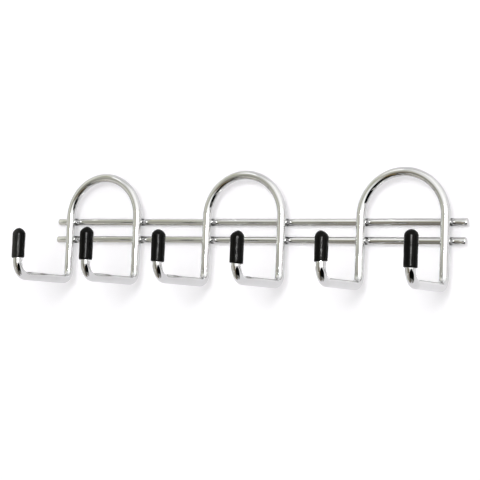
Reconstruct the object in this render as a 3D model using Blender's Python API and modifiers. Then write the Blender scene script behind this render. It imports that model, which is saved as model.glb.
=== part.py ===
"""Wall rack with six coat hooks, made of bent steel wire.

Two straight rails lie against the wall. Three identical wires are welded across the front of the rails.
Each wire is an arch with two legs, and each leg turns out into an arm with an upturned tip, so a wire
makes two hooks. A soft cap is pushed on each tip.

Metres, +Z up. X runs along the rails. The wall is the plane Y = 0, and the hooks reach out towards -Y.
The origin is on the wall, midway between the rails and midway between the outer legs.
"""
import math

import bmesh
import bpy
from mathutils import Matrix, Vector

# Hook wires
wire_diameter = 0.0060
leg_pitch = 0.0530
hook_height = 0.0687
arm_reach = 0.0580
leg_bend_radius = 0.0065
tip_bend_radius = 0.0093
tip_straight = 0.0167
hook_wire_count = 3

# Rails
rail_diameter = 0.0050
rail_spacing = 0.01125
rail_drop = 0.0297
rail_overhang_left = 0.0135
rail_overhang_right = 0.0119
lower_rail_shift = 0.0007
rail_end_round = 0.0006

# Welds between the legs and the rails
weld_half_length = 0.0036
weld_half_height = 0.0028
weld_half_depth = 0.0019
weld_core_diameter = 0.0030

# Tip caps: each is trimmed and pushed on by hand, so it covers its own share of the straight part of the tip,
# and leaves its own share of the greatest free space above the wire's end
cap_wall = 0.0009
cap_roof = 0.0016
cap_dome_height = 0.0036
cap_rim_round = 0.0004
cap_free_space = 0.0030
cap_cover_shares = (0.91, 0.94, 0.98, 1.01, 0.905, 1.06)
cap_space_shares = (0.72, 0.92, 0.51, 0.22, 0.14, 0.52)

# Clearance between pieces that touch, and the length by which a cutter overruns what it cuts
contact_gap = 0.0003
cut_overrun = 0.0020

# Facets
arch_steps = 26
bend_steps = 8
wire_bevel_resolution = 6
rail_sides = 16
round_segments = 2
cap_sides = 24
dome_steps = 5
weld_rings = 10
weld_sides = 20
sharp_angle = math.radians(40)
merge_distance = 0.00001

# Places that follow from the sizes
wire_radius = wire_diameter / 2
rail_radius = rail_diameter / 2
rail_flat = rail_radius * math.cos(math.pi / rail_sides)
rail_y = -rail_flat
leg_y = rail_y - rail_radius - contact_gap - wire_radius
tip_y = leg_y - arm_reach
upper_rail_z = rail_spacing / 2
lower_rail_z = -rail_spacing / 2
arch_radius = leg_pitch / 2
arch_top_z = upper_rail_z + rail_drop
spring_z = arch_top_z - arch_radius
arm_z = arch_top_z - hook_height
tip_z = arm_z + tip_bend_radius + tip_straight
leg_count = 2 * hook_wire_count
leg_span = leg_pitch * (leg_count - 1)
leg_xs = [leg_pitch * leg - leg_span / 2 for leg in range(leg_count)]

PARTS = "multi_hook_hanger"
CUTTERS = "cutters"


def clear_scene():
    for thing in list(bpy.data.objects):
        bpy.data.objects.remove(thing, do_unlink=True)


def collection(name):
    group = bpy.data.collections.get(name) or bpy.data.collections.new(name)
    if name not in bpy.context.scene.collection.children:
        bpy.context.scene.collection.children.link(group)
    return group


def material(name, colour, metallic, roughness):
    finish = bpy.data.materials.new(name)
    finish.use_nodes = True
    shader = finish.node_tree.nodes["Principled BSDF"]
    shader.inputs["Base Color"].default_value = (*colour, 1)
    shader.inputs["Metallic"].default_value = metallic
    shader.inputs["Roughness"].default_value = roughness
    finish.diffuse_color = (*colour, 1)
    return finish


def wire_chrome():
    return material("hook_chrome", (0.62, 0.62, 0.61), 1.0, 0.07)


def rail_chrome():
    return material("rail_chrome", (0.61, 0.61, 0.60), 1.0, 0.10)


def weld_chrome():
    return material("weld_chrome", (0.56, 0.56, 0.55), 1.0, 0.20)


def black_vinyl():
    return material("cap_vinyl", (0.006, 0.006, 0.006), 0.0, 0.18)


def shade_round(mesh):
    mesh.shade_smooth()
    mesh.set_sharp_from_angle(angle=sharp_angle)


def add_object(name, mesh, finish, place, group=PARTS):
    """Put a mesh in the scene as a named piece."""
    piece = bpy.data.objects.new(name, mesh)
    if finish is not None and not mesh.materials:
        mesh.materials.append(finish)
    piece.location = place
    collection(group).objects.link(piece)
    return piece


def mesh_from(shape, name):
    """Turn a filled bmesh into a mesh and free it."""
    mesh = bpy.data.meshes.new(name)
    shape.to_mesh(mesh)
    shape.free()
    return mesh


def arc(centre, start, end, radius, turn, steps):
    """Points on an arc that starts in direction start and turns towards direction end."""
    points = []
    for step in range(steps + 1):
        angle = turn * step / steps
        points.append(centre + radius * (math.cos(angle) * start + math.sin(angle) * end))
    return points


def hook_side(x):
    """Centre line of one hook, from the end of its tip to the foot of its leg."""
    forward = Vector((0, -1, 0))
    down = Vector((0, 0, -1))
    tip_centre = Vector((x, tip_y + tip_bend_radius, arm_z + tip_bend_radius))
    leg_centre = Vector((x, leg_y - leg_bend_radius, arm_z + leg_bend_radius))
    quarter = math.pi / 2
    points = [Vector((x, tip_y, tip_z))]
    points += arc(tip_centre, forward, down, tip_bend_radius, quarter, bend_steps)
    points += arc(leg_centre, down, -forward, leg_bend_radius, quarter, bend_steps)
    return points


def hook_wire_points():
    """Centre line of a whole hook wire, centred on X = 0."""
    centre = Vector((0, leg_y, spring_z))
    left = Vector((-1, 0, 0))
    up = Vector((0, 0, 1))
    arch = arc(centre, left, up, arch_radius, math.pi, arch_steps)
    return hook_side(-arch_radius) + arch + hook_side(arch_radius)[::-1]


def wire_curve(name, points, radius, resolution):
    """A round wire along the points, with filled ends."""
    curve = bpy.data.curves.new(name, "CURVE")
    curve.dimensions = "3D"
    curve.bevel_depth = radius
    curve.bevel_resolution = resolution
    curve.use_fill_caps = True
    spline = curve.splines.new("POLY")
    spline.points.add(len(points) - 1)
    for spot, point in zip(spline.points, points):
        spot.co = (*point, 1)
    spline.use_smooth = True
    return curve


def add_hook_wires():
    finish = wire_chrome()
    points = hook_wire_points()
    for wire in range(hook_wire_count):
        curve = wire_curve(f"hook_wire_{wire + 1}", points, wire_radius, wire_bevel_resolution)
        middle = (leg_xs[2 * wire] + leg_xs[2 * wire + 1]) / 2
        add_object(f"hook_wire_{wire + 1}", curve, finish, (middle, 0, 0))


def add_rail(name, shift, z, finish):
    """A straight rod along X with rounded ends and one flat side against the wall."""
    left = leg_xs[0] - rail_overhang_left - shift
    right = leg_xs[-1] + rail_overhang_right - shift
    shape = bmesh.new()
    bmesh.ops.create_cone(shape, cap_ends=True, segments=rail_sides, radius1=rail_radius, radius2=rail_radius,
                          depth=right - left)
    bmesh.ops.rotate(shape, verts=shape.verts, matrix=Matrix.Rotation(math.pi / rail_sides, 3, "Z"))
    bmesh.ops.rotate(shape, verts=shape.verts, matrix=Matrix.Rotation(math.pi / 2, 3, "Y"))
    mesh = mesh_from(shape, name)
    shade_round(mesh)
    rail = add_object(name, mesh, finish, ((left + right) / 2, rail_y, z))
    rounding = rail.modifiers.new("end_round", "BEVEL")
    rounding.width = rail_end_round
    rounding.segments = round_segments
    rounding.limit_method = "ANGLE"
    rounding.angle_limit = sharp_angle


def add_rails():
    finish = rail_chrome()
    add_rail("rail_upper", 0, upper_rail_z, finish)
    add_rail("rail_lower", lower_rail_shift, lower_rail_z, finish)


def cylinder_cutter(name, radius, length, turn, place):
    """A cutter standing on Z, or lying on another axis after the turn."""
    shape = bmesh.new()
    bmesh.ops.create_cone(shape, cap_ends=True, segments=weld_sides, radius1=radius, radius2=radius, depth=length)
    bmesh.ops.rotate(shape, verts=shape.verts, matrix=turn)
    cutter = add_object(name, mesh_from(shape, name), None, place, CUTTERS)
    cutter.hide_render = True
    cutter.display_type = "WIRE"
    return cutter


def weld_mesh():
    """The metal squeezed out round a leg's crossing with a rail, centred on the crossing."""
    shape = bmesh.new()
    bmesh.ops.create_uvsphere(shape, u_segments=weld_sides, v_segments=weld_rings, radius=1)
    bmesh.ops.scale(shape, vec=(weld_half_length, weld_half_depth, weld_half_height), verts=shape.verts)
    blank = add_object("weld_blank", mesh_from(shape, "weld_blank"), None, (0, 0, 0), CUTTERS)
    upright = Matrix.Identity(3)
    along_x = Matrix.Rotation(math.pi / 2, 3, "Y")
    along_y = Matrix.Rotation(math.pi / 2, 3, "X")
    half_gap = contact_gap / 2
    leg_place = (0, -half_gap - wire_radius, 0)
    rail_place = (0, half_gap + rail_radius, 0)
    leg_cut = wire_radius + contact_gap
    rail_cut = rail_radius + contact_gap
    leg_length = 2 * (weld_half_height + cut_overrun)
    rail_length = 2 * (weld_half_length + cut_overrun)
    core_length = 2 * (weld_half_depth + cut_overrun)
    cutters = [
        cylinder_cutter("leg_cutter", leg_cut, leg_length, upright, leg_place),
        cylinder_cutter("rail_cutter", rail_cut, rail_length, along_x, rail_place),
        cylinder_cutter("core_cutter", weld_core_diameter / 2, core_length, along_y, (0, 0, 0)),
    ]
    for cutter in cutters:
        cut = blank.modifiers.new(cutter.name, "BOOLEAN")
        cut.operation = "DIFFERENCE"
        cut.object = cutter
    bpy.context.view_layer.update()
    graph = bpy.context.evaluated_depsgraph_get()
    mesh = bpy.data.meshes.new_from_object(blank.evaluated_get(graph))
    mesh.name = "weld"
    bpy.data.objects.remove(blank, do_unlink=True)
    shape = bmesh.new()
    shape.from_mesh(mesh)
    bmesh.ops.remove_doubles(shape, verts=shape.verts, dist=merge_distance)
    shape.to_mesh(mesh)
    shape.free()
    shade_round(mesh)
    return mesh


def add_welds():
    finish = weld_chrome()
    mesh = weld_mesh()
    y = rail_y - rail_radius - contact_gap / 2
    for leg, x in enumerate(leg_xs):
        add_object(f"weld_upper_{leg + 1}", mesh, finish, (x, y, upper_rail_z))
        add_object(f"weld_lower_{leg + 1}", mesh, finish, (x, y, lower_rail_z))


def cap_profile(length):
    """Half section of a cap as (radius, height) points, from the top of the dome to the roof of the bore."""
    bore = wire_radius + contact_gap
    outside = bore + cap_wall
    dome_foot = length - cap_dome_height
    points = []
    for step in range(dome_steps + 1):
        angle = math.pi / 2 * step / dome_steps
        points.append((outside * math.sin(angle), dome_foot + cap_dome_height * math.cos(angle)))
    points.append((outside, cap_rim_round))
    points.append((outside - cap_rim_round, 0))
    points.append((bore, 0))
    points.append((bore, length - cap_roof))
    points.append((0, length - cap_roof))
    return points


def add_cap(name, length, x, foot_z, finish):
    """A turned cap that stands on its rim, closed at the top."""
    mesh = bpy.data.meshes.new(name)
    profile = cap_profile(length)
    edges = [(point, point + 1) for point in range(len(profile) - 1)]
    mesh.from_pydata([(radius, 0, height) for radius, height in profile], edges, [])
    cap = add_object(name, mesh, finish, (x, tip_y, foot_z))
    turning = cap.modifiers.new("turning", "SCREW")
    turning.steps = cap_sides
    turning.render_steps = cap_sides
    turning.use_merge_vertices = True
    turning.merge_threshold = merge_distance
    turning.use_smooth_shade = True


def add_caps():
    finish = black_vinyl()
    for tip, x in enumerate(leg_xs):
        cover = tip_straight * cap_cover_shares[tip]
        space = contact_gap + cap_free_space * cap_space_shares[tip]
        add_cap(f"tip_cap_{tip + 1}", cover + space + cap_roof, x, tip_z - cover, finish)


def main():
    clear_scene()
    add_rails()
    add_hook_wires()
    add_welds()
    add_caps()


main()
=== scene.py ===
"""Looks of a wall rack of polished chrome wire with six black-capped hooks.

Metres, +Z up. X runs along the rails, which touch the wall plane Y = 0. The hooks reach towards -Y.
"""

import math

import bmesh
import bpy
from mathutils import Matrix, Vector, noise


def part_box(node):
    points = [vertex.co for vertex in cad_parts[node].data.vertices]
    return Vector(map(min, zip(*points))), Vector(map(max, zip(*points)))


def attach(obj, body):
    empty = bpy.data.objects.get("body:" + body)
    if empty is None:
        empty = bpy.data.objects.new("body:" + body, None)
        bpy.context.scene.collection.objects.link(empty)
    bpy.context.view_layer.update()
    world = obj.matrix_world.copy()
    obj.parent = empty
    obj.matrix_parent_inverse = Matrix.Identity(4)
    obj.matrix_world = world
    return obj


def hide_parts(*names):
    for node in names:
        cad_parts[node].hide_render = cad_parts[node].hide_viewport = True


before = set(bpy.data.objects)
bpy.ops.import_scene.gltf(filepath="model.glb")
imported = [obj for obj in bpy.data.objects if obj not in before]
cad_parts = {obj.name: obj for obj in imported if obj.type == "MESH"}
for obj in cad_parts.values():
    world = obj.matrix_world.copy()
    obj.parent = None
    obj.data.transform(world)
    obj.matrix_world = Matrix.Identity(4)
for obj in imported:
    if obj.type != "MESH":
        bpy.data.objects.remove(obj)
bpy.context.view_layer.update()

BODY = "root"
LEG_COUNT = 6
WIRE_COUNT = 3
GLOW_LAYER = "glow"

# Sizes that the boxes of the frame don't give
wire_radius = 0.0030
rail_radius = 0.00248
leg_bend_radius = 0.0065
tip_bend_radius = 0.0093
bore_radius = 0.00305
cap_roof = 0.0019

# Fineness of the meshes
wire_sides = 48
rail_sides = 48
cap_sides = 56
straight_step = 0.0020
rail_step = 0.0040
bend_steps = 18
arch_steps = 64
end_rings = 6
cap_wall_rings = 26
cap_dome_rings = 14
weld_subdivisions = 5
panel_steps = 24


# Places that the frame gives

def wire_box(number):
    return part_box(f"hook_wire_{number}")


def cap_box(leg):
    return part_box(f"tip_cap_{leg + 1}")


def leg_x(leg):
    """Centre of a leg, counted from 0 at the left."""
    low, high = wire_box(leg // 2 + 1)
    return low.x + wire_radius if leg % 2 == 0 else high.x - wire_radius


def tip_end_z(leg):
    """Height of a wire's end inside its cap."""
    return cap_box(leg)[1].z - cap_roof


first_low, first_high = wire_box(1)
leg_y = first_high.y - wire_radius
tip_y = first_low.y + wire_radius
arm_z = first_low.z + wire_radius
arch_top_z = first_high.z - wire_radius
arch_radius = (first_high.x - first_low.x) / 2 - wire_radius
spring_z = arch_top_z - arch_radius


# Objects and the camera

# The photo's camera, its angles in degrees
image_width_px = 480
focal_px = 1260.2
sensor_width_mm = 36
camera_azimuth = 27.82
camera_elevation = -3.885
camera_roll = 2.32
camera_distance = 0.7958
camera_target = Vector((-0.00224, -0.00825, -0.00589))
camera_clip_start = 0.01


def direction(azimuth, elevation):
    """Towards a place round the rack, in degrees: azimuth 0 is in front and 90 is to the right."""
    across, upwards = math.radians(azimuth), math.radians(elevation)
    return Vector((
        math.sin(across) * math.cos(upwards),
        -math.cos(across) * math.cos(upwards),
        math.sin(upwards),
    ))


def add_object(name, data):
    """A new object in the scene for a mesh, a lamp or a camera."""
    made = bpy.data.objects.new(name, data)
    bpy.context.scene.collection.objects.link(made)
    return made


def make_camera():
    """The camera that the photo was taken with, slightly turned about its own axis."""
    across, roll = math.radians(camera_azimuth), math.radians(camera_roll)
    back = direction(camera_azimuth, camera_elevation)
    level = Vector((math.cos(across), math.sin(across), 0))
    upward = back.cross(level)
    right = math.cos(roll) * level + math.sin(roll) * upward
    up = math.cos(roll) * upward - math.sin(roll) * level
    turn = Matrix((right, up, back)).transposed()
    lens = bpy.data.cameras.new("photo_camera")
    lens.sensor_width = sensor_width_mm
    lens.lens = focal_px / image_width_px * sensor_width_mm
    lens.clip_start = camera_clip_start
    camera = add_object("photo_camera", lens)
    camera.matrix_world = Matrix.Translation(camera_target + back * camera_distance) @ turn.to_4x4()
    bpy.context.scene.camera = camera


def mesh_of(name, shape, finish):
    """A mesh with one material, made from a bmesh, which is freed."""
    mesh = bpy.data.meshes.new(name)
    shape.to_mesh(mesh)
    shape.free()
    mesh.materials.append(finish)
    return mesh


def add_piece(name, shape, finish, slot, *nodes):
    """Turn a bmesh into a smooth piece that rides on the rack and stands for CAD nodes."""
    bmesh.ops.recalc_face_normals(shape, faces=shape.faces)
    mesh = mesh_of(name, shape, finish)
    mesh.shade_smooth()
    piece = add_object(name, mesh)
    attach(piece, BODY)
    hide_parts(*nodes)


def skin(shape, rings, first_point, last_point):
    """Faces over rings of points, with a fan from each end ring to its own point."""
    rows = [[shape.verts.new(point) for point in ring] for ring in rings]
    sides = len(rows[0])
    for low, high in zip(rows, rows[1:]):
        for side in range(sides):
            after = (side + 1) % sides
            shape.faces.new((low[side], low[after], high[after], high[side]))
    for row, point in ((rows[0], first_point), (rows[-1], last_point)):
        hub = shape.verts.new(point)
        for side in range(sides):
            shape.faces.new((hub, row[side], row[(side + 1) % sides]))


# Centre lines

# How far each hook's tip is bent aside, from the left
tip_sways = (0.00135, 0.00045, -0.00045, 0.0, 0.00050, 0.00045)

# The upper rail isn't quite level: its left end stands this much higher, and it is level to the right
# of this place
upper_rail_rise = 0.0007
upper_rail_level_x = 0.040


def swayed(point, leg):
    """A point of a hook moved aside in step with its distance from the leg."""
    share = max(0.0, (leg_y - leg_bend_radius - point.y) / (leg_y - leg_bend_radius - tip_y))
    return point + Vector((tip_sways[leg] * share, 0, 0))


def arc(centre, start, end, radius, turn, steps):
    """Points on an arc that starts in direction start and turns towards direction end."""
    points = []
    for step in range(steps + 1):
        angle = turn * step / steps
        points.append(centre + radius * (math.cos(angle) * start + math.sin(angle) * end))
    return points


def straight(start, end, step):
    """Points between start and end, without either."""
    count = max(2, round((end - start).length / step))
    return [start.lerp(end, number / count) for number in range(1, count)]


def hook_side(leg):
    """Centre line of one hook, from the end of its tip to the top of its leg's bend."""
    x = leg_x(leg)
    forward = Vector((0, -1, 0))
    down = Vector((0, 0, -1))
    tip = Vector((x, tip_y, tip_end_z(leg)))
    tip_centre = Vector((x, tip_y + tip_bend_radius, arm_z + tip_bend_radius))
    leg_centre = Vector((x, leg_y - leg_bend_radius, arm_z + leg_bend_radius))
    tip_bend = arc(tip_centre, forward, down, tip_bend_radius, math.pi / 2, bend_steps)
    leg_bend = arc(leg_centre, down, -forward, leg_bend_radius, math.pi / 2, bend_steps)
    points = [tip] + straight(tip, tip_bend[0], straight_step) + tip_bend
    points += straight(tip_bend[-1], leg_bend[0], straight_step) + leg_bend
    return [swayed(point, leg) for point in points]


def hook_wire_path(number):
    """Centre line of a whole hook wire, from its left tip to its right tip."""
    left_leg = 2 * (number - 1)
    right_leg = left_leg + 1
    centre = Vector(((leg_x(left_leg) + leg_x(right_leg)) / 2, leg_y, spring_z))
    arch = arc(centre, Vector((-1, 0, 0)), Vector((0, 0, 1)), arch_radius, math.pi, arch_steps)
    first = hook_side(left_leg)
    last = hook_side(right_leg)[::-1]
    up = straight(first[-1], arch[0], straight_step)
    down = straight(arch[-1], last[0], straight_step)
    return first + up + arch + down + last


def rail_centre(name, x):
    """Centre of a rail at a place along it."""
    low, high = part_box(name)
    centre = (low + high) / 2
    rise = upper_rail_rise * max(0.0, (upper_rail_level_x - x) / (upper_rail_level_x - low.x))
    return Vector((x, centre.y, centre.z + rise if name == "rail_upper" else centre.z))


# Wires and rails

# Shares by which the tightest bend makes the wire thinner across the bend and wider beside it
bend_thinning = 0.035
bend_widening = 0.018
# How many points on each side even out the bend at a point
bend_smoothing = 2
ripple_height = 0.000012
ripple_length = 0.0075
wire_end_round = 0.0007
rail_end_round = 0.0009


def frames_along(points):
    """A tangent and a side direction at each point, the sides turning no more than the path does."""
    tangents = []
    for number in range(len(points)):
        before = points[max(number - 1, 0)]
        after = points[min(number + 1, len(points) - 1)]
        tangents.append((after - before).normalized())
    side = tangents[0].orthogonal().normalized()
    sides = [side]
    for last, tangent in zip(tangents, tangents[1:]):
        side = last.rotation_difference(tangent) @ side
        side = (side - tangent * side.dot(tangent)).normalized()
        sides.append(side)
    return tangents, sides


def bend_vectors(points):
    """At each point the direction to the bend's centre, divided by the bend's radius."""
    raw = []
    for number, point in enumerate(points):
        before = points[max(number - 1, 0)]
        after = points[min(number + 1, len(points) - 1)]
        into, away = point - before, after - point
        length = (into.length + away.length) / 2
        if into.length == 0 or away.length == 0:
            raw.append(Vector((0, 0, 0)))
        else:
            raw.append((away.normalized() - into.normalized()) / length)
    smooth = []
    for number in range(len(raw)):
        near = raw[max(number - bend_smoothing, 0):number + bend_smoothing + 1]
        smooth.append(sum(near, Vector((0, 0, 0))) / len(near))
    return smooth


def ripple(point, seed):
    """Slight unevenness of a drawn and plated wire."""
    place = point / ripple_length + Vector((seed, 0, 0))
    return ripple_height * noise.noise(place)


def rounded_ends(points, radius, rounding):
    """Centre points and radii of a rod with more of them at its two ends, which they round."""
    start_way = (points[0] - points[1]).normalized()
    end_way = (points[-1] - points[-2]).normalized()
    steps = []
    for step in range(end_rings):
        angle = math.pi / 2 * step / (end_rings - 1)
        steps.append((rounding * (1 - math.sin(angle)), radius - rounding * (1 - math.cos(angle))))
    start = [(points[0] - start_way * inset, size) for inset, size in reversed(steps)]
    end = [(points[-1] - end_way * inset, size) for inset, size in steps]
    inner = [(point, radius) for point in points
             if (point - points[0]).length > rounding and (point - points[-1]).length > rounding]
    return start + inner + end


def rod_shape(points, radius, sides, rounding, seed):
    """A round rod along points that thins where it bends and has rounded ends."""
    spots = rounded_ends(points, radius, rounding)
    centres = [centre for centre, size in spots]
    tangents, side_ways = frames_along(centres)
    bends = bend_vectors(centres)
    rings = []
    for (centre, size), tangent, side_way, bend in zip(spots, tangents, side_ways, bends):
        other_way = tangent.cross(side_way)
        tightness = bend.length * leg_bend_radius
        towards = bend.normalized() if bend.length > 0 else side_way
        ring = []
        for side in range(sides):
            angle = 2 * math.pi * side / sides
            way = math.cos(angle) * side_way + math.sin(angle) * other_way
            inward = way.dot(towards)
            widening = bend_widening * (1 - inward * inward)
            change = tightness * (widening - bend_thinning * inward * inward)
            surface = centre + way * size * (1 + change)
            ring.append(surface + way * ripple(surface, seed))
        rings.append(ring)
    shape = bmesh.new()
    skin(shape, rings, centres[0], centres[-1])
    return shape


def add_hook_wires(finish):
    for number in range(1, WIRE_COUNT + 1):
        shape = rod_shape(hook_wire_path(number), wire_radius, wire_sides, wire_end_round, number)
        add_piece(f"chrome_hook_wire_{number}", shape, finish, "hook_chrome", f"hook_wire_{number}")


def add_rails(finish):
    for seed, name in enumerate(("rail_upper", "rail_lower"), start=WIRE_COUNT + 1):
        low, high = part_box(name)
        start, end = Vector((low.x, 0, 0)), Vector((high.x, 0, 0))
        points = [start] + straight(start, end, rail_step) + [end]
        points = [rail_centre(name, point.x) for point in points]
        shape = rod_shape(points, rail_radius, rail_sides, rail_end_round, seed)
        add_piece(f"chrome_{name}", shape, finish, "rail_chrome", name)


# Welds

weld_reach = 0.0048
weld_blend = 0.0009
weld_sink = 0.00004
weld_lump_height = 0.00007
weld_lump_length = 0.0016
halvings = 40


def weld_field(point, leg_place, rail_place):
    """Distance outside a leg and a rail with their corner filled in, and how filled it is, from 0 to 1."""
    to_leg = math.hypot(point.x - leg_place.x, point.y - leg_place.y) - wire_radius
    to_rail = math.hypot(point.y - rail_place.y, point.z - rail_place.z) - rail_radius
    share = max(0.0, min(1.0, 0.5 + 0.5 * (to_rail - to_leg) / weld_blend))
    corner = weld_blend * share * (1 - share)
    return to_rail * (1 - share) + to_leg * share - corner + weld_sink, 4 * share * (1 - share)


def weld_radius(centre, way, leg_place, rail_place):
    """How far the filled corner reaches from the centre of the crossing, by halving."""
    near, far = 0.0, weld_reach
    for step in range(halvings):
        middle = (near + far) / 2
        if weld_field(centre + way * middle, leg_place, rail_place)[0] < 0:
            near = middle
        else:
            far = middle
    return near


def weld_shape(leg, rail):
    """The filled corner round the crossing of a leg and a rail, lumpy where it is filling."""
    rail_place = rail_centre(rail, leg_x(leg))
    leg_place = Vector((leg_x(leg), leg_y, rail_place.z))
    touch_y = (leg_place.y + wire_radius + rail_place.y - rail_radius) / 2
    centre = Vector((leg_place.x, touch_y, rail_place.z))
    shape = bmesh.new()
    bmesh.ops.create_icosphere(shape, subdivisions=weld_subdivisions, radius=1)
    for vert in shape.verts:
        way = vert.co.normalized()
        point = centre + way * weld_radius(centre, way, leg_place, rail_place)
        filled = weld_field(point, leg_place, rail_place)[1]
        lump = weld_lump_height * filled * noise.noise(point / weld_lump_length)
        vert.co = point + way * lump
    return shape


def add_welds(finish):
    for row in ("upper", "lower"):
        for leg in range(LEG_COUNT):
            node = f"weld_{row}_{leg + 1}"
            add_piece(f"chrome_{node}", weld_shape(leg, f"rail_{row}"), finish, "weld_chrome", node)


# Caps

cap_dome_height = 0.0036
# What the rim adds to a cap's radius, and the power at which that falls off above it
cap_rim_flare = -0.00010
cap_flare_power = 3
cap_waist = 0.00005
cap_rim_round = 0.00060
cap_lump_length = 0.0042
cap_inner_depth = 0.0030
# Each cap's rim slant and the direction of its lowest point in degrees, how far its top leans aside, how
# much its height and its radius exceed the CAD cap's, its dome's fullness (2 is an ellipse) and its
# lumpiness
cap_shapes = (
    (0.00045, 200, 0.00000, 0.00015, -0.00008, 1.60, 0.00007),
    (0.00015, 180, 0.00025, 0.00030, 0.00009, 1.60, 0.00005),
    (0.00025, 20, -0.00010, 0.00000, 0.00006, 1.60, 0.00009),
    (0.00055, 0, 0.00060, 0.00010, -0.00008, 1.65, 0.00010),
    (0.00050, 190, -0.00065, 0.00045, -0.00017, 1.70, 0.00011),
    (0.00020, 10, 0.00010, 0.00005, -0.00017, 1.85, 0.00007),
)
# Three caps, counted from 0 at the left, have a coarser skin
scuffed_caps = (0, 3, 4)


def cap_shape(leg):
    """A dipped vinyl cap: a soft bullet with a slanted rim, a rounded lip and a bore for the wire."""
    slant, slant_degrees, lean_side, rise, thickening, fullness, lumpiness = cap_shapes[leg]
    low, high = cap_box(leg)
    axis = swayed((low + high) / 2, leg)
    radius = (high.x - low.x) / 2 + thickening
    dome_foot = high.z - cap_dome_height
    dome_height = cap_dome_height + rise
    inner_top = low.z + cap_inner_depth
    low_way = math.radians(slant_degrees)
    angles = [2 * math.pi * side / cap_sides for side in range(cap_sides)]
    rim = [low.z + slant * (1 - math.cos(angle - low_way)) / 2 for angle in angles]

    def ring(size, heights, lean=0):
        """Points round the cap at their own heights, with the cap's lumps."""
        points = []
        for angle, height in zip(angles, heights):
            spot = Vector((math.cos(angle) * size, math.sin(angle) * size, 0))
            point = Vector((axis.x + lean_side * lean, axis.y, height)) + spot
            lump = lumpiness * noise.noise(point / cap_lump_length + Vector((leg, 0, 0)))
            points.append(point + spot.normalized() * lump * min(1, size / bore_radius))
        return points

    rings = [ring(bore_radius, [inner_top] * cap_sides), ring(bore_radius, rim)]
    for step in range(end_rings):
        turn = math.pi / 2 * step / (end_rings - 1)
        inset = cap_rim_round * (1 - math.sin(turn))
        lip = cap_rim_round * (1 - math.cos(turn))
        rings.append(ring(radius + cap_rim_flare - inset, [height + lip for height in rim]))
    for step in range(1, cap_wall_rings):
        share = step / cap_wall_rings
        flare = cap_rim_flare * (1 - share) ** cap_flare_power
        size = radius + flare - cap_waist * math.sin(math.pi * share) ** 2
        heights = [(height + cap_rim_round) * (1 - share) + dome_foot * share for height in rim]
        rings.append(ring(size, heights))
    for step in range(cap_dome_rings):
        turn = math.pi / 2 * step / cap_dome_rings
        size = radius * math.cos(turn) ** (2 / fullness)
        share = math.sin(turn) ** (2 / fullness)
        rings.append(ring(size, [dome_foot + dome_height * share] * cap_sides, share * share))
    shape = bmesh.new()
    tip = Vector((axis.x + lean_side, axis.y, dome_foot + dome_height))
    skin(shape, rings, Vector((axis.x, axis.y, inner_top)), tip)
    return shape


def add_caps(smooth, scuffed):
    for leg in range(LEG_COUNT):
        finish = scuffed if leg in scuffed_caps else smooth
        add_piece(f"vinyl_cap_{leg + 1}", cap_shape(leg), finish, "cap_vinyl", f"tip_cap_{leg + 1}")


# Shader nodes

def feed(tree, node, inputs):
    """Give a node's inputs, by name or number, values or other nodes' outputs."""
    for name, value in inputs.items():
        if isinstance(value, bpy.types.NodeSocket):
            tree.links.new(value, node.inputs[name])
        else:
            node.inputs[name].default_value = value


def add_node(tree, kind, inputs=None, **settings):
    """A new shader node with its settings and its inputs."""
    made = tree.nodes.new(kind)
    for name, value in settings.items():
        setattr(made, name, value)
    feed(tree, made, inputs or {})
    return made


def place_of(tree):
    """The place on the rack in metres, the same in every view."""
    return add_node(tree, "ShaderNodeTexCoord").outputs["Object"]


def stretched(tree, place, scales):
    """Places scaled along each axis, which draws out what is painted there where a scale is under 1."""
    return add_node(tree, "ShaderNodeMapping", {"Vector": place, "Scale": scales}).outputs["Vector"]


def ranged(tree, value, from_low, from_high, to_low, to_high):
    """A value taken from one range to another and kept within it."""
    return add_node(tree, "ShaderNodeMapRange", {
        "Value": value,
        "From Min": from_low, "From Max": from_high,
        "To Min": to_low, "To Max": to_high,
    }).outputs["Result"]


def noise_of(tree, place, size, detail=2.0, roughness=0.5):
    """Noise from 0 to 1 with features of a size in metres."""
    inputs = {"Vector": place, "Scale": 1 / size, "Detail": detail, "Roughness": roughness}
    return add_node(tree, "ShaderNodeTexNoise", inputs).outputs["Fac"]


def spots_of(tree, place, pitch, radius):
    """1 inside small round spots, one in each cell of a pitch in metres, and 0 elsewhere."""
    cells = add_node(tree, "ShaderNodeTexVoronoi", {"Vector": place, "Scale": 1 / pitch})
    return ranged(tree, cells.outputs["Distance"], radius / pitch, radius / pitch / 2, 0, 1)


def combine(tree, operation, first, second=0):
    """One step of arithmetic on two values, or on one where the step takes only one."""
    return add_node(tree, "ShaderNodeMath", {0: first, 1: second}, operation=operation).outputs["Value"]


def mixed(tree, share, first, second):
    """A colour between two colours, each a node's output or three plain numbers."""
    made = add_node(tree, "ShaderNodeMix", {"Factor": share}, data_type="RGBA")
    numbers = [number for number, item in enumerate(made.inputs) if item.type == "RGBA"]
    for number, colour in zip(numbers, (first, second)):
        feed(tree, made, {number: (*colour, 1) if isinstance(colour, tuple) else colour})
    return next(item for item in made.outputs if item.type == "RGBA")


def bumped(tree, height, depth, below=None):
    """A surface with relief of a depth in metres, laid over other relief if there is any below."""
    inputs = {"Height": height, "Distance": depth}
    if below is not None:
        inputs["Normal"] = below
    return add_node(tree, "ShaderNodeBump", inputs).outputs["Normal"]


def principled_material(name):
    finish = bpy.data.materials.new(name)
    finish.use_nodes = True
    return finish, finish.node_tree, finish.node_tree.nodes["Principled BSDF"]


def empty_material(name):
    finish = bpy.data.materials.new(name)
    finish.use_nodes = True
    finish.node_tree.nodes.clear()
    return finish, finish.node_tree


# Materials of the rack

# Levels that noise seldom leaves
noise_low = 0.3
noise_high = 0.7

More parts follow.
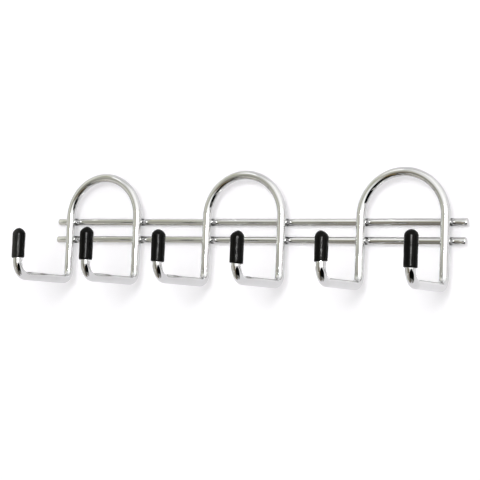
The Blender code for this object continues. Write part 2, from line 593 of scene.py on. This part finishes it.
# Chrome: sizes of its smudges, haze and draw lines, and the spacing and radius of its pits
smudge_size = 0.016
haze_size = 0.0022
line_size = 0.0012
pit_pitch = 0.0065
pit_radius = 0.00011
# Noise at which a smudge starts and is full, and the wear at which chrome is at its roughest
smudge_start = 0.42
smudge_full = 0.68
worn_full = 0.7
# What draw lines take off or add and what pits add to the roughness
line_roughness = 0.012
pit_roughness = 0.4
pit_colour = (0.16, 0.15, 0.14)

# Painted shade: the plating is darkened in the corner of a leg and the rail behind it, where shade falls.
# To each side of the leg's middle that is full up to one distance and ends at another. Above and below
# the rail's middle it starts at one distance and is full from another. It ends as far behind the rail's
# middle as it is full in front
crevice_full_aside = 0.0020
crevice_end_aside = 0.0034
crevice_start_off = 0.0008
crevice_full_off = 0.0017
crevice_back = 0.0006
painted_crevice_shade_colour = (0.03, 0.03, 0.03)

# Vinyl: sizes of its clouds, orange peel, grime and drag marks, the depth of the peel, how grime and drag
# marks are drawn out upwards, and the spacing and radius of its dust
cloud_size = 0.0035
peel_size = 0.0008
peel_depth = 0.00002
grime_size = 0.0011
grime_scales = (1, 1, 0.4)
drag_size = 0.0013
drag_scales = (1, 1, 0.45)
dust_pitch = 0.0021
dust_radius = 0.00006
# Grime at which a scuff starts and is full
scuff_start = 0.58
scuff_full = 0.75
# The outer side of the first cap is rubbed grey between these places, and less where grime is low
rubbed_start_x = -0.1280
rubbed_full_x = -0.1340
rubbed_least = 0.5
vinyl_dark = (0.001, 0.001, 0.001)
vinyl_light = (0.004, 0.004, 0.0035)
scuff_colour = (0.015, 0.015, 0.014)
rubbed_colour = (0.060, 0.060, 0.056)
dust_colour = (0.25, 0.24, 0.22)
# Roughness of vinyl where its clouds are darkest and lightest, and what scuffs and dust add to it
vinyl_roughness_range = (0.17, 0.24)
scuff_roughness = 0.12
dust_roughness = 0.4
vinyl_specular = 0.07


def painted_crevice_shade_mask(tree, place):
    """Mask of painted shade: 1 above and below the middle of a rail where it passes behind a leg, and 0
    elsewhere.
    """
    low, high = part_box("rail_upper")
    middle_y, middle_z = (low.y + high.y) / 2, (low.z + high.z) / 2
    pitch = leg_x(1) - leg_x(0)
    parts = add_node(tree, "ShaderNodeSeparateXYZ", {"Vector": place})
    x, y, z = parts.outputs["X"], parts.outputs["Y"], parts.outputs["Z"]
    aside = combine(tree, "PINGPONG", combine(tree, "SUBTRACT", x, leg_x(0)), pitch / 2)
    rise = ranged(tree, x, upper_rail_level_x, low.x, 0, upper_rail_rise)
    rise = combine(tree, "MULTIPLY", rise, combine(tree, "GREATER_THAN", z, 0))
    off_middle = combine(tree, "SUBTRACT", combine(tree, "ABSOLUTE", z), middle_z)
    off_middle = combine(tree, "ABSOLUTE", combine(tree, "SUBTRACT", off_middle, rise))
    near_leg = ranged(tree, aside, crevice_end_aside, crevice_full_aside, 0, 1)
    in_front = ranged(tree, y, middle_y + crevice_back, middle_y - crevice_back, 0, 1)
    deep = combine(tree, "MULTIPLY", near_leg, in_front)
    in_corner = ranged(tree, off_middle, crevice_start_off, crevice_full_off, 0, 1)
    return combine(tree, "MULTIPLY", deep, in_corner)


def chrome(name, bright, dull, roughness_range, grain_scales, grain_depth, paint_crevice_shade=False):
    """Chrome plate on drawn wire: faint draw lines, hand smudges that dull it, a few pits, and if asked
    painted shade behind the legs.
    """
    finish, tree, shader = principled_material(name)
    place = place_of(tree)
    smudge = noise_of(tree, place, smudge_size, detail=3.0)
    smudge = ranged(tree, smudge, smudge_start, smudge_full, 0, 1)
    lines = noise_of(tree, stretched(tree, place, grain_scales), line_size)
    haze = noise_of(tree, place, haze_size, detail=3.0, roughness=0.6)
    pits = spots_of(tree, place, pit_pitch, pit_radius)
    worn = combine(tree, "MULTIPLY", smudge, haze)
    colour = mixed(tree, worn, bright, dull)
    colour = mixed(tree, pits, colour, pit_colour)
    # Painted shade: the corner where a rail passes behind a leg is darkened
    if paint_crevice_shade:
        colour = mixed(tree, painted_crevice_shade_mask(tree, place), colour, painted_crevice_shade_colour)
    roughness = ranged(tree, worn, 0, worn_full, *roughness_range)
    line_change = ranged(tree, lines, noise_low, noise_high, -line_roughness, line_roughness)
    roughness = combine(tree, "ADD", roughness, line_change)
    roughness = combine(tree, "ADD", roughness, combine(tree, "MULTIPLY", pits, pit_roughness))
    relief = combine(tree, "SUBTRACT", lines, pits)
    feed(tree, shader, {
        "Base Color": colour,
        "Metallic": 1,
        "Roughness": roughness,
        "Normal": bumped(tree, relief, grain_depth),
    })
    return finish


def black_vinyl(name, drag_depth):
    """Dip-moulded vinyl: satin black with orange peel, drag marks, cloudy sheen, scuffs and dust."""
    finish, tree, shader = principled_material(name)
    place = place_of(tree)
    cloud = noise_of(tree, place, cloud_size, detail=3.0)
    peel = noise_of(tree, place, peel_size, roughness=0.6)
    grime = noise_of(tree, stretched(tree, place, grime_scales), grime_size, detail=4.0, roughness=0.7)
    scuff = ranged(tree, grime, scuff_start, scuff_full, 0, 1)
    dust = spots_of(tree, place, dust_pitch, dust_radius)
    across = add_node(tree, "ShaderNodeSeparateXYZ", {"Vector": place}).outputs["X"]
    rubbed = ranged(tree, across, rubbed_start_x, rubbed_full_x, 0, 1)
    patchiness = ranged(tree, grime, noise_low, noise_high, rubbed_least, 1)
    rubbed = combine(tree, "MULTIPLY", rubbed, patchiness)
    colour = mixed(tree, cloud, vinyl_dark, vinyl_light)
    colour = mixed(tree, scuff, colour, scuff_colour)
    colour = mixed(tree, rubbed, colour, rubbed_colour)
    colour = mixed(tree, dust, colour, dust_colour)
    roughness = ranged(tree, cloud, noise_low, noise_high, *vinyl_roughness_range)
    roughness = combine(tree, "ADD", roughness, combine(tree, "MULTIPLY", scuff, scuff_roughness))
    roughness = combine(tree, "ADD", roughness, combine(tree, "MULTIPLY", dust, dust_roughness))
    drag = noise_of(tree, stretched(tree, place, drag_scales), drag_size)
    orange_peel = bumped(tree, combine(tree, "ADD", peel, dust), peel_depth)
    feed(tree, shader, {
        "Base Color": colour,
        "Roughness": roughness,
        "Specular IOR Level": vinyl_specular,
        "Normal": bumped(tree, drag, drag_depth, below=orange_peel),
    })
    return finish


# Studio

wall_gap = 0.0004
wall_half_width = 3.0
wall_height = 3.0
wall_paint = (0.93, 0.916, 0.942)
wall_lift = 0.26
floor_z = -1.7
floor_depth = 4.0
floor_paint = (0.80, 0.80, 0.79)
floor_lift = 0.50
ambient_strength = 0.62

# Colours of what stands round the rack
white = (1.0, 1.0, 0.99)
lilac = (0.98, 0.98, 1.03)
grey_green = (1.0, 1.01, 0.90)
grey_brown = (1.0, 0.98, 0.92)
dun = (1.0, 0.96, 0.85)
olive = (1.0, 1.0, 0.87)
moss = (1.0, 1.0, 0.74)
sand = (1.0, 0.90, 0.74)
brown = (1.0, 0.76, 0.42)

# Screens, stands and drapes, of which the nearer hide the farther: name, colour, distance, and four
# corners from the lowest left and round, each with its azimuth and elevation in degrees and its brightness
panels = (
    ("ceiling", white, 1.66,
     (-180, 64, 0.84), (180, 64, 0.84), (180, 89, 0.70), (-180, 89, 0.70)),
    ("table_edge", lilac, 1.64,
     (-180, -89, 1.00), (180, -89, 1.00), (180, -64, 0.90), (-180, -64, 0.90)),
    ("screen_left", white, 1.62,
     (-14, -16, 1.08), (16, -16, 1.48), (16, 68, 1.35), (-14, 68, 1.08)),
    ("screen_right", white, 1.60,
     (16, -14, 1.80), (80, -6, 1.65), (80, 68, 1.30), (16, 68, 1.45)),
    ("screen_end", white, 1.58,
     (79, -8, 0.35), (98, -8, 0.40), (98, 22, 0.80), (79, 22, 0.80)),
    ("side_high", grey_green, 1.56,
     (-110, 26, 0.90), (-50, 26, 1.06), (-56, 68, 1.15), (-110, 68, 0.30)),
    ("side_middle", grey_green, 1.54,
     (-110, -8, 0.15), (-38, -8, 1.10), (-38, 28, 1.24), (-110, 28, 0.40)),
    ("side_low", grey_brown, 1.52,
     (-110, -36, 0.80), (-36, -36, 0.84), (-36, -8, 0.84), (-110, -8, 0.72)),
    ("side_foot", dun, 1.50,
     (-110, -66, 0.62), (-44, -66, 0.27), (-44, -36, 0.76), (-110, -36, 0.82)),
    ("side_under", brown, 1.49,
     (-110, -80, 0.10), (-46, -80, 0.04), (-44, -66, 0.27), (-110, -66, 0.50)),
    ("table_near", dun, 1.475,
     (-46, -80, 0.06), (-4, -80, 0.04), (-4, -60, 0.06), (-46, -60, 0.36)),
    ("table_far", grey_brown, 1.47,
     (-46, -60, 0.36), (-4, -60, 0.06), (-4, -36, 0.18), (-44, -36, 0.66)),
    ("window", white, 1.48,
     (-38, 29, 1.62), (-19, 29, 1.80), (-22, 52, 1.62), (-38, 52, 1.48)),
    ("stand_top", moss, 0.92,
     (-50, 24, 0.52), (-38, 24, 0.55), (-38, 41, 0.77), (-52, 44, 0.65)),
    ("stand_high", olive, 0.90,
     (-43, 0, 0.58), (-8, 0, 0.80), (-10, 27, 0.72), (-46, 27, 0.49)),
    ("stand_low", olive, 0.88,
     (-46, -32, 0.58), (-8, -36, 0.17), (-8, 0, 0.26), (-47, 0, 0.44)),
    ("stand_side", sand, 0.87,
     (-21, -36, 0.32), (-8, -36, 0.19), (-8, 0, 0.30), (-21, 0, 0.35)),
    ("stand_edge", brown, 0.86,
     (-8, -80, 0.12), (5, -80, 0.08), (5, -14, 0.26), (-8, -11, 0.34)),
    ("drape_foot", grey_brown, 0.84,
     (-4, -76, 0.05), (96, -76, 0.60), (96, -46, 0.40), (0, -54, 0.01)),
    ("drape_left", white, 0.82,
     (-2, -56, 0.003), (42, -54, 0.003), (42, -10, 0.003), (8, -27, 0.003)),
    ("drape_right", white, 0.80,
     (40, -54, 0.003), (96, -46, 0.003), (96, -20, 0.003), (40, -10, 0.003)),
)


def glowing(name):
    """A glow with the colours that are stored at the mesh's points."""
    finish, tree = empty_material(name)
    stored = add_node(tree, "ShaderNodeAttribute", attribute_name=GLOW_LAYER)
    glow = add_node(tree, "ShaderNodeEmission", {"Color": stored.outputs["Color"]})
    add_node(tree, "ShaderNodeOutputMaterial", {"Surface": glow.outputs["Emission"]})
    return finish


def add_panel(name, tint, distance, low_left, low_right, high_right, high_left):
    """A curved panel that the metal reflects and that neither lights nor shades anything."""
    shape = bmesh.new()
    glow_layer = shape.verts.layers.float_color.new(GLOW_LAYER)
    rows = []
    for row in range(panel_steps + 1):
        left = Vector(low_left).lerp(Vector(high_left), row / panel_steps)
        right = Vector(low_right).lerp(Vector(high_right), row / panel_steps)
        verts = []
        for column in range(panel_steps + 1):
            azimuth, elevation, brightness = left.lerp(right, column / panel_steps)
            vert = shape.verts.new(direction(azimuth, elevation) * distance)
            vert[glow_layer] = (*(brightness * part for part in tint), 1)
            verts.append(vert)
        rows.append(verts)
    for low, high in zip(rows, rows[1:]):
        for column in range(panel_steps):
            shape.faces.new((low[column], low[column + 1], high[column + 1], high[column]))
    panel = add_object(name, mesh_of(name, shape, glowing(name)))
    panel.visible_camera = False
    panel.visible_diffuse = False
    panel.visible_shadow = False


def add_lamp(name, azimuth, elevation, distance, width, height, radiance):
    """A soft rectangular lamp that faces the rack."""
    light = bpy.data.lights.new(name, "AREA")
    light.shape = "RECTANGLE"
    light.size = width
    light.size_y = height
    light.energy = radiance * math.pi * width * height
    lamp = add_object(name, light)
    away = direction(azimuth, elevation)
    lamp.location = away * distance
    lamp.rotation_mode = "QUATERNION"
    lamp.rotation_quaternion = (-away).to_track_quat("-Z", "Y")
    lamp.visible_camera = False
    return lamp


def add_lamps():
    """A lamp that only shows in reflections, for the caps' streaks, and a main lamp that never does."""
    streak_lamp = add_lamp("streak_lamp", azimuth=26, elevation=7, distance=1.45,
                           width=0.37, height=0.33, radiance=64)
    streak_lamp.visible_diffuse = False
    main_lamp = add_lamp("main_lamp", azimuth=14, elevation=10, distance=1.50,
                         width=0.46, height=0.46, radiance=10.6)
    main_lamp.visible_glossy = False


def seen_directly_or_reflected(tree):
    """1 for what the camera sees, itself or in metal or glass, and 0 for light that falls on things."""
    ray = add_node(tree, "ShaderNodeLightPath")
    seen = combine(tree, "MAXIMUM", ray.outputs["Is Camera Ray"], ray.outputs["Is Glossy Ray"])
    return combine(tree, "MAXIMUM", seen, ray.outputs["Is Transmission Ray"])


def backdrop_material(name, paint, lift, one_sided):
    """Matt paint that keeps shadows, lifted to white where it is seen, itself or in metal."""
    finish, tree = empty_material(name)
    matt = add_node(tree, "ShaderNodeBsdfDiffuse", {"Color": (*paint, 1)}).outputs["BSDF"]
    strength = combine(tree, "MULTIPLY", seen_directly_or_reflected(tree), lift)
    glow = add_node(tree, "ShaderNodeEmission", {"Strength": strength}).outputs["Emission"]
    surface = add_node(tree, "ShaderNodeAddShader", {0: matt, 1: glow}).outputs["Shader"]
    if one_sided:
        behind = add_node(tree, "ShaderNodeNewGeometry").outputs["Backfacing"]
        clear = add_node(tree, "ShaderNodeBsdfTransparent").outputs["BSDF"]
        inputs = {0: behind, 1: surface, 2: clear}
        surface = add_node(tree, "ShaderNodeMixShader", inputs).outputs["Shader"]
    add_node(tree, "ShaderNodeOutputMaterial", {"Surface": surface})
    return finish


def add_sheet(name, corners, finish):
    """One flat face that isn't part of the rack."""
    mesh = bpy.data.meshes.new(name)
    mesh.from_pydata(corners, [], [(0, 1, 2, 3)])
    mesh.materials.append(finish)
    sheet = add_object(name, mesh)


def add_room():
    """The wall that the rack hangs on, open from behind, and a pale floor far below."""
    wide = wall_half_width
    add_sheet("wall", (
        (-wide, wall_gap, floor_z), (wide, wall_gap, floor_z),
        (wide, wall_gap, wall_height), (-wide, wall_gap, wall_height),
    ), backdrop_material("wall_paint", wall_paint, wall_lift, one_sided=True))
    add_sheet("floor", (
        (-wide, -floor_depth, floor_z), (wide, -floor_depth, floor_z),
        (wide, floor_depth, floor_z), (-wide, floor_depth, floor_z),
    ), backdrop_material("floor_paint", floor_paint, floor_lift, one_sided=False))


def make_world():
    """White where it is seen, and a soft even light on everything."""
    world = bpy.data.worlds.new("studio")
    bpy.context.scene.world = world
    world.use_nodes = True
    tree = world.node_tree
    strength = ranged(tree, seen_directly_or_reflected(tree), 0, 1, ambient_strength, 1)
    feed(tree, tree.nodes["Background"], {"Color": (1, 1, 1, 1), "Strength": strength})
    bpy.context.scene.view_settings.view_transform = "Standard"


make_camera()
make_world()
add_room()
for panel in panels:
    add_panel(*panel)
add_lamps()
add_hook_wires(chrome(
    "wire_chrome",
    bright=(0.62, 0.62, 0.62), dull=(0.575, 0.575, 0.57), roughness_range=(0.045, 0.10),
    grain_scales=(1, 1, 0.2), grain_depth=0.000004,
))
# The rails' chrome has painted shade in the corners behind the legs
add_rails(chrome(
    "rail_chrome",
    bright=(0.615, 0.615, 0.61), dull=(0.56, 0.56, 0.55), roughness_range=(0.05, 0.12),
    grain_scales=(0.1, 1, 1), grain_depth=0.000005, paint_crevice_shade=True,
))
# The welds' chrome has painted shade in the corners behind the legs
add_welds(chrome(
    "weld_chrome",
    bright=(0.60, 0.60, 0.59), dull=(0.50, 0.49, 0.47), roughness_range=(0.08, 0.22),
    grain_scales=(1, 1, 1), grain_depth=0.00002, paint_crevice_shade=True,
))
add_caps(
    black_vinyl("smooth_vinyl", drag_depth=0.00004),
    black_vinyl("scuffed_vinyl", drag_depth=0.00016),
)
